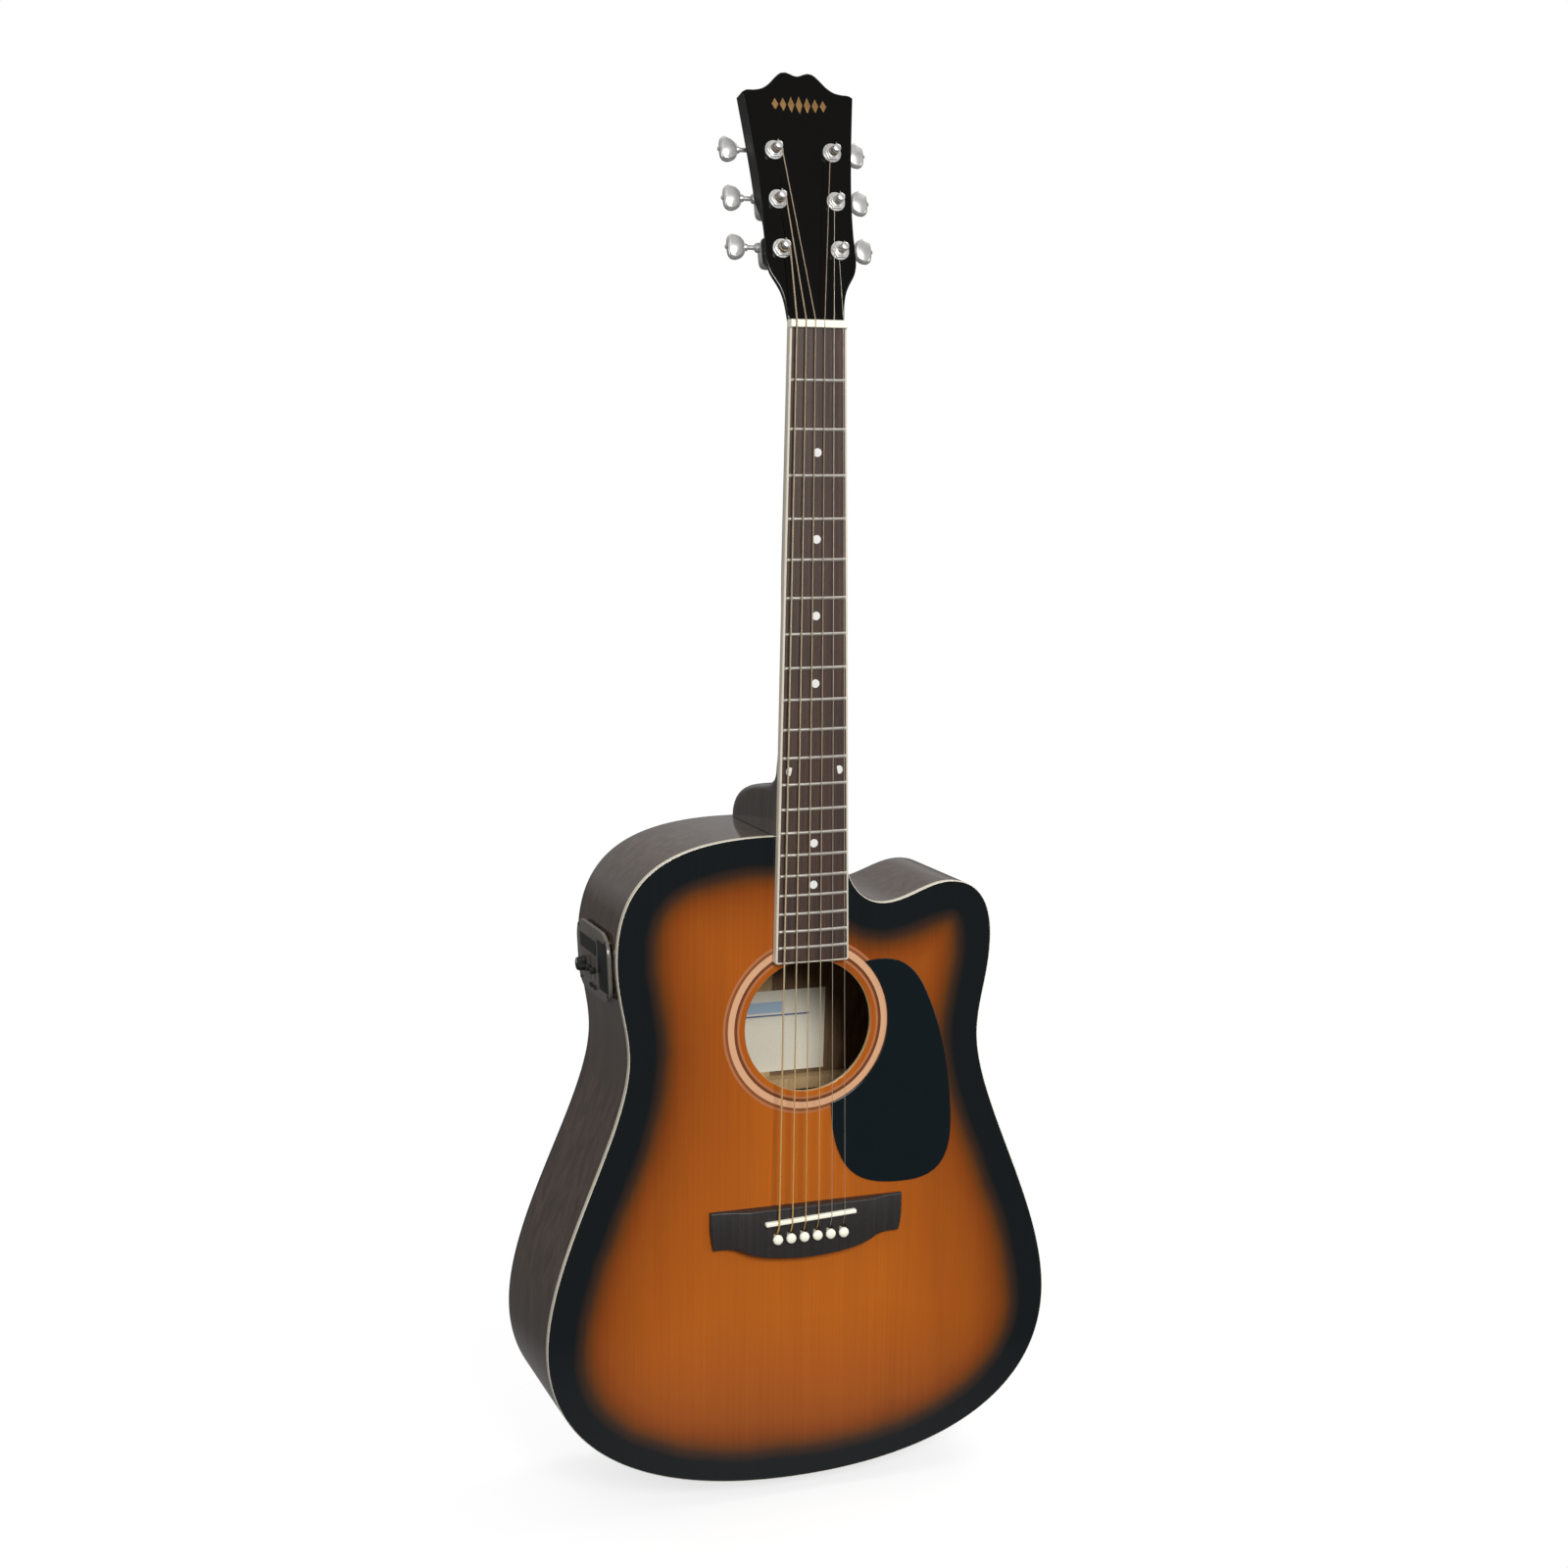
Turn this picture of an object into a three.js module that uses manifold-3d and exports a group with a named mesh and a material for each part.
// Electro-acoustic cutaway dreadnought guitar, as an assembly of separate solids.
// Units are millimetres. X runs across the guitar (bass side negative), Y from the soundboard
// (negative) to the back, Z up the neck. The origin is the centre of the end pin's outer flat face.

import * as THREE from 'three';
import { mergeVertices } from 'three/addons/utils/BufferGeometryUtils.js';
import Module from 'manifold-3d';

const wasm = await Module();
wasm.setup();

// ---------------------------------------------------------------- driving dimensions

const SCALE_LENGTH = 650;
const BODY_LENGTH = 495.5;
const LOWER_BOUT = 399;
const WAIST = 276;
const UPPER_BOUT = 294.6;
const DEPTH_AT_TAIL = 122;
const DEPTH_AT_NECK = 100;
const END_PIN_STANDOFF = 13;
const GAP = 0.3;

const TOP_THICKNESS = 3;
const BACK_THICKNESS = 3;
const RIB_THICKNESS = 2.4;
const BINDING_WIDTH = 1.5;
const BINDING_DEPTH = 4.6;
const LINING_WIDTH = 6;
const LINING_DEPTH = 13;

const NUT_WIDTH = 43;
const NUT_LENGTH = 5.5;
const BOARD_THICKNESS = 6.3;
const BOARD_END_WIDTH = 57.5;
const BOARD_PAST_LAST_FRET = 12;
const FRET_COUNT = 20;
const JOINT_FRET = 14;
const NECK_DEPTH_AT_NUT = 14.6;
const HEAD_TILT = THREE.MathUtils.degToRad(14.5);
const HEAD_THICKNESS = 15;
const HEAD_FACE_BELOW_BOARD = 4.7;
const NECK_SET_BACK = 3.6;

const SOUNDHOLE_RADIUS = 49.7;
const STRING_COUNT = 6;
const NUT_STRING_STEP = 7.1;
const BRIDGE_STRING_STEP = 10.5;
const STRING_RADII = [0.67, 0.53, 0.41, 0.31, 0.21, 0.16];

// ---------------------------------------------------------------- derived places

const TAIL_Z = END_PIN_STANDOFF;
const BODY_TOP_Z = TAIL_Z + BODY_LENGTH;
const TOP_Y = -DEPTH_AT_TAIL / 2;
const fretDistance = (n) => SCALE_LENGTH * (1 - 2 ** (-n / 12));
const NUT_Z = BODY_TOP_Z + fretDistance(JOINT_FRET) + 2.5;
const BOARD_END_Z = NUT_Z - fretDistance(FRET_COUNT) - BOARD_PAST_LAST_FRET;
const SOUNDHOLE_Z = BOARD_END_Z - SOUNDHOLE_RADIUS + 0.5;
const SADDLE_Z = NUT_Z - SCALE_LENGTH;
const PIN_Z = SADDLE_Z - 15;

const depthAt = (z) => DEPTH_AT_TAIL + (DEPTH_AT_NECK - DEPTH_AT_TAIL) * (z - TAIL_Z) / BODY_LENGTH;
const backY = (z) => TOP_Y + depthAt(z);
const stringX = (i, step) => (i - (STRING_COUNT - 1) / 2) * step;

// The board's face leans back from the joint to the nut; its underside is flat on the soundboard.
const neckLean = (z) => NECK_SET_BACK * (z - BODY_TOP_Z) / (NUT_Z - BODY_TOP_Z);
const boardFrontY = (z) => TOP_Y - GAP - BOARD_THICKNESS + neckLean(z);
const boardBackY = (z) => TOP_Y - GAP + Math.max(0, neckLean(z));

function boardHalfWidth(z) {
  return THREE.MathUtils.mapLinear(z, BOARD_END_Z, NUT_Z, BOARD_END_WIDTH, NUT_WIDTH) / 2;
}

// ---------------------------------------------------------------- solid builders

/** A closed mesh from points and triangles, turned so that its faces point out. */
function closedMesh(points, triangles) {
  let volume = 0;
  for (const [a, b, c] of triangles) {
    volume += points[a].dot(points[b].clone().cross(points[c]));
  }
  const outward = volume > 0 ? triangles : triangles.map(([a, b, c]) => [a, c, b]);
  const geometry = new THREE.BufferGeometry();
  geometry.setAttribute('position', new THREE.Float32BufferAttribute(points.flatMap((p) => p.toArray()), 3));
  geometry.setIndex(outward.flat());
  return geometry;
}

/** A bar with a four-cornered section that runs between two matching rows of (x, z) points. */
function quadSweep(rowA, rowB, frontY, rearY, closed = false) {
  const points = [];
  rowA.forEach((a, i) => {
    const b = rowB[i];
    points.push(new THREE.Vector3(a.x, frontY(a), a.y), new THREE.Vector3(a.x, rearY(a), a.y));
    points.push(new THREE.Vector3(b.x, rearY(b), b.y), new THREE.Vector3(b.x, frontY(b), b.y));
  });
  const triangles = [];
  const spans = closed ? rowA.length : rowA.length - 1;
  for (let i = 0; i < spans; i++) {
    const here = 4 * i;
    const next = 4 * ((i + 1) % rowA.length);
    for (let k = 0; k < 4; k++) {
      const m = (k + 1) % 4;
      triangles.push([here + k, next + k, next + m], [here + k, next + m, here + m]);
    }
  }
  if (!closed) {
    const last = 4 * (rowA.length - 1);
    triangles.push([0, 1, 2], [0, 2, 3], [last, last + 2, last + 1], [last, last + 3, last + 2]);
  }
  return closedMesh(points, triangles);
}

/** A plate with an (x, z) outline and holes, between two heights that vary with z. */
function plate(outline, holes, frontY, rearY) {
  const faces = THREE.ShapeUtils.triangulateShape(outline, holes);
  const rim = [outline, ...holes];
  const flat = rim.flat();
  const count = flat.length;
  const points = flat.map((p) => new THREE.Vector3(p.x, frontY(p.y), p.y));
  points.push(...flat.map((p) => new THREE.Vector3(p.x, rearY(p.y), p.y)));
  const triangles = [];
  for (const [a, b, c] of faces) {
    triangles.push([a, b, c], [a + count, c + count, b + count]);
  }
  let start = 0;
  for (const loop of rim) {
    const forward = THREE.ShapeUtils.isClockWise(loop) === (loop !== outline);
    for (let i = 0; i < loop.length; i++) {
      const a = start + i;
      const b = start + (i + 1) % loop.length;
      const [p, q] = forward ? [b, a] : [a, b];
      triangles.push([p, q, q + count], [p, q + count, p + count]);
    }
    start += loop.length;
  }
  return closedMesh(points, triangles);
}

/** Rings of equal length joined into one closed skin, with flat ends. */
function loft(rings) {
  const size = rings[0].length;
  const points = rings.flat();
  const triangles = [];
  for (let i = 0; i < rings.length - 1; i++) {
    for (let k = 0; k < size; k++) {
      const a = i * size + k;
      const b = i * size + (k + 1) % size;
      triangles.push([a, b, b + size], [a, b + size, a + size]);
    }
  }
  const last = (rings.length - 1) * size;
  for (let k = 1; k < size - 1; k++) {
    triangles.push([0, k + 1, k], [last, last + k, last + k + 1]);
  }
  return closedMesh(points, triangles);
}

/** A round wire through points, each with its own radius. */
function wire(points, radii, sides = 6) {
  const across = new THREE.Vector3(1, 0, 0);
  const rings = points.map((p, i) => {
    const before = points[Math.max(i - 1, 0)];
    const after = points[Math.min(i + 1, points.length - 1)];
    const up = after.clone().sub(before).normalize().cross(across).normalize();
    return Array.from({ length: sides }, (_, k) => {
      const angle = (2 * Math.PI * k) / sides;
      return p.clone()
        .addScaledVector(across, radii[i] * Math.cos(angle))
        .addScaledVector(up, radii[i] * Math.sin(angle));
    });
  });
  return loft(rings);
}

function box(x0, x1, y0, y1, z0, z1) {
  const geometry = new THREE.BoxGeometry(x1 - x0, y1 - y0, z1 - z0);
  return geometry.translate((x0 + x1) / 2, (y0 + y1) / 2, (z0 + z1) / 2);
}

/** A cylinder along Y. */
function rod(radius, x, z, y0, y1, sides = 16) {
  const geometry = new THREE.CylinderGeometry(radius, radius, y1 - y0, sides);
  return geometry.translate(x, (y0 + y1) / 2, z);
}

/** A turned piece: its profile is (radius, height) and its axis is Y. */
function turned(profile, sides = 12) {
  return new THREE.LatheGeometry(profile.map(([r, h]) => new THREE.Vector2(r, h)), sides);
}

function toSolid(geometry) {
  const bare = geometry.clone();
  bare.deleteAttribute('normal');
  bare.deleteAttribute('uv');
  const merged = mergeVertices(bare, 1e-4);
  return new wasm.Manifold(new wasm.Mesh({
    numProp: 3,
    vertProperties: new Float32Array(merged.attributes.position.array),
    triVerts: new Uint32Array(merged.index.array),
  }));
}

function fromSolid(solid) {
  const { vertProperties, triVerts } = solid.getMesh();
  const geometry = new THREE.BufferGeometry();
  geometry.setAttribute('position', new THREE.BufferAttribute(vertProperties, 3));
  geometry.setIndex(new THREE.BufferAttribute(triVerts, 1));
  return geometry;
}

const joined = (first, ...rest) => fromSolid(rest.reduce((s, g) => s.add(toSolid(g)), toSolid(first)));
const cut = (first, ...rest) => fromSolid(rest.reduce((s, g) => s.subtract(toSolid(g)), toSolid(first)));

// ---------------------------------------------------------------- body outline

const v2 = (x, z) => new THREE.Vector2(x, z);

/** Points of a chain of cubic curves: each entry is [first handle, second handle, end, steps]. */
function curveChain(start, spans) {
  const points = [start];
  let from = start;
  for (const [h1, h2, end, steps] of spans) {
    const curve = new THREE.CubicBezierCurve(from, h1, h2, end);
    points.push(...curve.getPoints(steps).slice(1));
    from = end;
  }
  return points;
}

const LOWER_BOUT_Z = TAIL_Z + 0.249 * BODY_LENGTH;
const WAIST_Z = TAIL_Z + 0.679 * BODY_LENGTH;
const UPPER_BOUT_Z = TAIL_Z + 0.828 * BODY_LENGTH;
const CUTAWAY_X = 60;
const CUTAWAY_Z = TAIL_Z + 441;
const HORN_X = 112;
const HORN_Z = TAIL_Z + 454.3;
const HEEL_SIDE_X = 28.8;
const TENON_HALF = 14;

/** Tail, lower bout, waist and upper bout: the curves that both sides share. */
function lowerHalf() {
  const bout = LOWER_BOUT / 2;
  const waist = WAIST / 2;
  const upper = UPPER_BOUT / 2;
  const square = 0.63;
  const cornerZ = LOWER_BOUT_Z - square * (LOWER_BOUT_Z - TAIL_Z);
  return [
    [v2(square * bout, TAIL_Z), v2(bout, cornerZ), v2(bout, LOWER_BOUT_Z), 10],
    [v2(bout, LOWER_BOUT_Z + 71), v2(waist, WAIST_Z - 55), v2(waist, WAIST_Z), 12],
    [v2(waist, WAIST_Z + 25), v2(upper, UPPER_BOUT_Z - 30), v2(upper, UPPER_BOUT_Z), 5],
  ];
}

/** Full shoulder, on the bass side, from the upper bout to the neck. */
function shoulderHalf() {
  const upper = UPPER_BOUT / 2;
  const neckSide = v2(HEEL_SIDE_X, BODY_TOP_Z);
  const points = curveChain(v2(0, TAIL_Z), [
    ...lowerHalf(),
    [v2(upper, UPPER_BOUT_Z + 66), v2(103, BODY_TOP_Z), neckSide, 10],
  ]);
  return [...points, v2(TENON_HALF + GAP, BODY_TOP_Z), v2(0, BODY_TOP_Z)];
}

/** Cutaway, on the treble side: round the horn, through the bowl and up the side of the heel. */
function cutawayHalf() {
  const upper = UPPER_BOUT / 2;
  const points = curveChain(v2(0, TAIL_Z), [
    ...lowerHalf(),
    [v2(upper, UPPER_BOUT_Z + 27), v2(136, HORN_Z), v2(HORN_X, HORN_Z), 8],
    [v2(95, HORN_Z), v2(78, CUTAWAY_Z), v2(CUTAWAY_X, CUTAWAY_Z), 6],
    [v2(45, CUTAWAY_Z), v2(33, CUTAWAY_Z + 11), v2(HEEL_SIDE_X + 0.7, CUTAWAY_Z + 27), 6],
    [v2(HEEL_SIDE_X + 0.2, CUTAWAY_Z + 36), v2(HEEL_SIDE_X, CUTAWAY_Z + 45), v2(HEEL_SIDE_X, BODY_TOP_Z), 2],
  ]);
  return [...points, v2(TENON_HALF + GAP, BODY_TOP_Z), v2(0, BODY_TOP_Z)];
}

const trebleHalf = cutawayHalf();
const bassHalf = shoulderHalf().map((p) => v2(-p.x, p.y));
// Anticlockwise, from the middle of the tail up the treble side and down the bass side.
const outline = [...trebleHalf, ...bassHalf.slice(1, -1).reverse()];
const topIndex = trebleHalf.length - 1;

/** The outline moved inwards by a distance, with mitred corners. */
function inset(points, distance) {
  const normal = (a, b) => v2(b.y - a.y, a.x - b.x).normalize();
  return points.map((p, i) => {
    const n1 = normal(points.at(i - 1), p);
    const n2 = normal(p, points[(i + 1) % points.length]);
    return p.clone().addScaledVector(n1.clone().add(n2), -distance / (1 + n1.dot(n2)));
  });
}

/** Where a horizontal line at height z crosses the inset outline: [lowest x, highest x]. */
function spanAt(z, distance) {
  const loop = inset(outline, distance);
  const hits = [];
  loop.forEach((a, i) => {
    const b = loop[(i + 1) % loop.length];
    if ((a.y - z) * (b.y - z) < 0) {
      hits.push(a.x + (b.x - a.x) * (z - a.y) / (b.y - a.y));
    }
  });
  return [Math.min(...hits), Math.max(...hits)];
}

const LINING_INSET = Math.max(RIB_THICKNESS, BINDING_WIDTH) + GAP;

/** How far a bar of some width can run at height z before it meets the linings: [lowest x, highest x]. */
function barSpan(z, width) {
  const clear = LINING_INSET + LINING_WIDTH + 1;
  const spans = [spanAt(z - width / 2, clear), spanAt(z + width / 2, clear)];
  return [Math.max(...spans.map((s) => s[0])), Math.min(...spans.map((s) => s[1]))];
}

const circle = (x, z, radius, sides) => Array.from({ length: sides }, (_, i) => {
  const angle = (2 * Math.PI * i) / sides;
  return v2(x + radius * Math.cos(angle), z + radius * Math.sin(angle));
});

// ---------------------------------------------------------------- body shell

const fixed = (y) => () => y;
const topRear = TOP_Y + TOP_THICKNESS;
const backFront = (z) => backY(z) - BACK_THICKNESS;
const PLATE_INSET = BINDING_WIDTH + GAP;

/** The slot behind each pin lets the string pass down through bridge, soundboard and bridge plate. */
function pinSlot(i) {
  const x = stringX(i, BRIDGE_STRING_STEP);
  const radius = 2.9;
  const shape = new THREE.Path();
  shape.absarc(x, PIN_Z + 3.4, radius, 0, Math.PI, false);
  shape.absarc(x, PIN_Z, radius, Math.PI, 2 * Math.PI, false);
  return shape.getPoints(4).slice(0, -1);
}
const pinSlots = Array.from({ length: STRING_COUNT }, (_, i) => pinSlot(i));

function soundboard() {
  const hole = circle(0, SOUNDHOLE_Z, SOUNDHOLE_RADIUS, 48);
  return plate(inset(outline, PLATE_INSET), [hole, ...pinSlots], fixed(TOP_Y), fixed(topRear));
}

function backPlate() {
  return plate(inset(outline, PLATE_INSET), [], backFront, backY);
}

function bindingTop() {
  return quadSweep(outline, inset(outline, BINDING_WIDTH), fixed(TOP_Y), fixed(TOP_Y + BINDING_DEPTH), true);
}

function bindingBack() {
  const rear = (p) => backY(p.y);
  return quadSweep(outline, inset(outline, BINDING_WIDTH), (p) => rear(p) - BINDING_DEPTH, rear, true);
}

const ribFront = fixed(TOP_Y + BINDING_DEPTH + GAP);
const ribRear = (p) => backY(p.y) - BINDING_DEPTH - GAP;
const inner = inset(outline, RIB_THICKNESS);
const END_PIN_SHANK = 4;

function endPinHole() {
  return rod(END_PIN_SHANK + GAP, 0, 0, -60, 60).rotateX(Math.PI / 2);
}

function ribTreble() {
  const last = topIndex;
  const strip = quadSweep(outline.slice(0, last), inner.slice(0, last), ribFront, ribRear);
  return cut(strip, endPinHole());
}

function ribBass(...openings) {
  const from = topIndex + 1;
  const outer = [...outline.slice(from), outline[0]];
  const inside = [...inner.slice(from), inner[0]];
  return cut(quadSweep(outer, inside, ribFront, ribRear), endPinHole(), ...openings);
}

const liningOuter = inset(outline, LINING_INSET);
const liningInner = inset(outline, LINING_INSET + LINING_WIDTH);
const NECK_BLOCK_HALF = 38;
const liningStart = trebleHalf.findIndex((p) => p.x === CUTAWAY_X && p.y === CUTAWAY_Z);
const liningEnd = outline.findIndex((p, i) => i > topIndex && p.x < -NECK_BLOCK_HALF - LINING_WIDTH);

/** The linings run round the body from one side of the neck block to the other. */
function lining(frontY, rearY) {
  const order = [...outline.keys()];
  const run = [...order.slice(liningEnd), ...order.slice(0, liningStart + 1)];
  return quadSweep(run.map((i) => liningOuter[i]), run.map((i) => liningInner[i]), frontY, rearY);
}
const frontOfBack = (p) => backFront(p.y) - GAP;
const liningTop = () => lining(fixed(topRear + GAP), fixed(topRear + GAP + LINING_DEPTH));
const liningBack = () => lining((p) => frontOfBack(p) - LINING_DEPTH, frontOfBack);

const BLOCK_LENGTH = 46;
const BLOCK_CORNER = { across: 5.1, rise: 26 };
const TAIL_BLOCK = { half: 24, length: 26, standOff: 2.6 };
const blockTopZ = BODY_TOP_Z - LINING_INSET;
const TENON_LENGTH = 20;
const TENON_FRONT_Y = TOP_Y + BINDING_DEPTH + GAP;
const TENON_REAR_Y = TOP_Y + 62;
const ROD_Y = TOP_Y + 8.3;
const ROD_RADIUS = 2.4;
const ROD_CHANNEL = 6;

/** Block behind the heel; its lower corner on the treble side is cut off to clear the cutaway. */
function neckBlock() {
  const low = blockTopZ - BLOCK_LENGTH;
  const right = HEEL_SIDE_X - LINING_INSET;
  const shape = [v2(-NECK_BLOCK_HALF, low), v2(right - BLOCK_CORNER.across, low),
    v2(right, low + BLOCK_CORNER.rise), v2(right, blockTopZ), v2(-NECK_BLOCK_HALF, blockTopZ)];
  const block = plate(shape, [], fixed(topRear + GAP), (z) => backFront(z) - GAP);
  const mortise = box(-TENON_HALF - GAP, TENON_HALF + GAP, TOP_Y, TENON_REAR_Y + GAP,
    BODY_TOP_Z - TENON_LENGTH - GAP, BODY_TOP_Z + 1);
  const channel = box(-ROD_CHANNEL / 2, ROD_CHANNEL / 2, TOP_Y, ROD_Y + ROD_CHANNEL / 2, 0, BODY_TOP_Z + 1);
  return cut(block, mortise, channel);
}

/** Block at the tail, between the linings, just clear of the curved rib. */
function tailBlock() {
  const { half, length, standOff } = TAIL_BLOCK;
  const low = TAIL_Z + RIB_THICKNESS + standOff;
  const clear = LINING_DEPTH + 3 * GAP;
  const block = plate([v2(-half, low), v2(half, low), v2(half, low + length), v2(-half, low + length)],
    [], fixed(topRear + clear), (z) => backFront(z) - clear);
  return cut(block, endPinHole());
}

/** A straight brace under a plate, from one (x, z) place to another, with thinned ends. */
function brace(a, b, { width, deep, shallow }, faceY, inward) {
  const along = b.clone().sub(a).normalize();
  const side = v2(-along.y, along.x).multiplyScalar(width / 2);
  const share = [0, 0.12, 0.88, 1];
  const height = [shallow, deep, deep, shallow];
  const line = share.map((t) => a.clone().lerp(b, t));
  const left = line.map((p) => p.clone().add(side));
  const right = line.map((p) => p.clone().sub(side));
  const depths = new Map([...left, ...right].map((p, i) => [p, height[i % share.length]]));
  const near = (p) => faceY(p.y);
  const far = (p) => faceY(p.y) + inward * depths.get(p);
  return quadSweep(left, right, near, far);
}

const TRANSVERSE_Z = TAIL_Z + 424;
const X_CENTRE_Z = SOUNDHOLE_Z - 86;
const X_REACH_UP = 112;
const X_REACH_DOWN = 150;
const HOLE_BRACE_X = 64;
const BRIDGE_PLATE_FRONT = topRear + GAP;
const BRIDGE_PLATE_THICKNESS = 3;
const X_BRACE = { width: 8, deep: 14, shallow: 4 };
const TONE_BAR = { width: 7, deep: 10, shallow: 3 };
const TRANSVERSE_BRACE = { width: 10, deep: 12, shallow: 4 };
const BACK_BRACE = { width: 9, deep: 13, shallow: 4 };
// Ends of the two tone bars, as (x, height above the middle of the X).
const TONE_BARS = [
  { upper: [85, -85], lower: [-95, -150] },
  { upper: [120, -120], lower: [-30, -195] },
];
// The bridge plate tapers up the body from below the pins; the ball ends need room behind it.
const BRIDGE_PLATE = { below: 14, length: 42, halfLow: 88, halfHigh: 70 };
const BALL_ROOM = { half: 31, below: 6, above: 11 };
const BACK_BRACE_SHARES = [0.13, 0.35, 0.565, 0.82];
const SEAM_STRIP = { half: 9, thick: 1.2 };

/** X-brace, transverse and soundhole braces, tone bars and bridge plate, as glued together. */
function topBracing() {
  const face = fixed(BRIDGE_PLATE_FRONT);
  const above = (x, rise) => v2(x, X_CENTRE_Z + rise);
  const [low, high] = barSpan(TRANSVERSE_Z, TRANSVERSE_BRACE.width);
  const bars = [
    brace(v2(low, TRANSVERSE_Z), v2(high, TRANSVERSE_Z), TRANSVERSE_BRACE, face, 1),
    brace(above(-X_REACH_UP, X_REACH_UP), above(X_REACH_DOWN, -X_REACH_DOWN), X_BRACE, face, 1),
    brace(above(X_REACH_UP, X_REACH_UP), above(-X_REACH_DOWN, -X_REACH_DOWN), X_BRACE, face, 1),
    ...TONE_BARS.map(({ upper, lower }) => brace(above(...upper), above(...lower), TONE_BAR, face, 1)),
  ];
  for (const x of [-HOLE_BRACE_X, HOLE_BRACE_X]) {
    bars.push(brace(above(x, HOLE_BRACE_X), v2(x, TRANSVERSE_Z), TONE_BAR, face, 1));
  }
  const plateRear = BRIDGE_PLATE_FRONT + BRIDGE_PLATE_THICKNESS;
  const { below, length, halfLow, halfHigh } = BRIDGE_PLATE;
  const padLow = PIN_Z - below;
  const padHigh = padLow + length;
  const padShape = [v2(-halfLow, padLow), v2(halfLow, padLow), v2(halfHigh, padHigh), v2(-halfHigh, padHigh)];
  const pad = plate(padShape, [], face, fixed(plateRear));
  const ballRoom = box(-BALL_ROOM.half, BALL_ROOM.half, plateRear, plateRear + 30,
    PIN_Z - BALL_ROOM.below, PIN_Z + BALL_ROOM.above);
  const slots = pinSlots.map((slot) => plate(slot, [], fixed(topRear), fixed(plateRear + 1)));
  return cut(joined(pad, ...bars), ballRoom, ...slots);
}

/** Four ladder braces on the back, joined by the strip over its centre seam. */
function backBracing() {
  const face = (z) => backFront(z) - GAP;
  const bars = BACK_BRACE_SHARES.map((share) => {
    const z = TAIL_Z + share * BODY_LENGTH;
    const [low, high] = barSpan(z, BACK_BRACE.width);
    return brace(v2(low, z), v2(high, z), BACK_BRACE, face, -1);
  });
  const ends = [TAIL_Z + 40, blockTopZ - BLOCK_LENGTH - 1];
  const row = (x) => ends.map((z) => v2(x, z));
  const strip = quadSweep(row(-SEAM_STRIP.half), row(SEAM_STRIP.half),
    (p) => face(p.y) - SEAM_STRIP.thick, (p) => face(p.y));
  return joined(strip, ...bars);
}

/** Strap button: its outer face carries the origin, and its shank goes into the tail block. */
function endPin() {
  const flare = 7.5;
  return turned([[0, 0], [flare - 0.8, 0], [flare, 1], [flare, 2.4], [4.6, 5], [4.4, 9], [6.6, 12],
    [6.6, TAIL_Z - GAP], [END_PIN_SHANK, TAIL_Z - GAP], [END_PIN_SHANK - 0.6, TAIL_Z + 24],
    [0, TAIL_Z + 24]], 20).rotateX(Math.PI / 2);
}

const JACK_BORE = 3.25;
const JACK_SLEEVE = 4.9;

/** Output jack: an open sleeve with a round plate against the tail. Its axis is Y before placing. */
function outputJack() {
  return turned([[JACK_BORE, -2.2], [9.5, -2.2], [10.5, -1.4], [10.5, -0.9], [JACK_SLEEVE, -0.9],
    [JACK_SLEEVE, 20], [JACK_BORE, 20], [JACK_BORE, -2.2]], 20);
}

// ---------------------------------------------------------------- bridge and pickguard

const BRIDGE_HALF = 76.5;
const BRIDGE_TOP_Z = SADDLE_Z + 8;
const BRIDGE_WING_LENGTH = 29;
const BRIDGE_BELLY_LENGTH = 40;
const BRIDGE_HEIGHT = 9;
const BRIDGE_WING_HEIGHT = 3.6;
const SADDLE_HALF = 36;
const SADDLE_SLANT = Math.atan(3.3 / 70);
const SADDLE_THICKNESS = 3.2;
const SADDLE_TOP_Y = TOP_Y - 12.7;
const PICKUP_THICKNESS = 1.2;
const SLOT_FLOOR_Y = TOP_Y - 2.6;
const PICKUP_FRONT_Y = SLOT_FLOOR_Y - GAP - PICKUP_THICKNESS;

const bridgeFaceY = (x) => {
  const rise = 1 - THREE.MathUtils.smoothstep(Math.abs(x), 46, BRIDGE_HALF - 8);
  return TOP_Y - GAP - BRIDGE_WING_HEIGHT - (BRIDGE_HEIGHT - BRIDGE_WING_HEIGHT) * rise;
};

function saddleBlock(halfLength, halfWidth, y0, y1) {
  const bar = box(-halfLength, halfLength, y0, y1, -halfWidth, halfWidth).rotateY(-SADDLE_SLANT);
  return bar.translate(0, 0, SADDLE_Z - 1);
}

/** Belly bridge: square ends, S-curves into a belly on the side away from the neck. */
function bridge() {
  const wing = BRIDGE_TOP_Z - BRIDGE_WING_LENGTH;
  const belly = BRIDGE_TOP_Z - BRIDGE_BELLY_LENGTH;
  const curve = new THREE.CubicBezierCurve(v2(61, wing), v2(47, wing), v2(51, belly + 1.5), v2(0, belly));
  const right = [v2(BRIDGE_HALF, wing), v2(BRIDGE_HALF - 8.5, wing), ...curve.getPoints(9)];
  const lower = [...right, ...right.slice(0, -1).reverse().map((p) => v2(-p.x, p.y))];
  const upper = lower.map((p) => v2(p.x, BRIDGE_TOP_Z));
  const body = quadSweep(upper, lower, (p) => bridgeFaceY(p.x), fixed(TOP_Y - GAP));
  const saddleSlot = saddleBlock(SADDLE_HALF + GAP, SADDLE_THICKNESS / 2 + GAP, TOP_Y - 20, SLOT_FLOOR_Y);
  const slots = pinSlots.map((slot) => plate(slot, [], fixed(TOP_Y - 20), fixed(TOP_Y + 1)));
  return cut(body, saddleSlot, ...slots);
}

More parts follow.
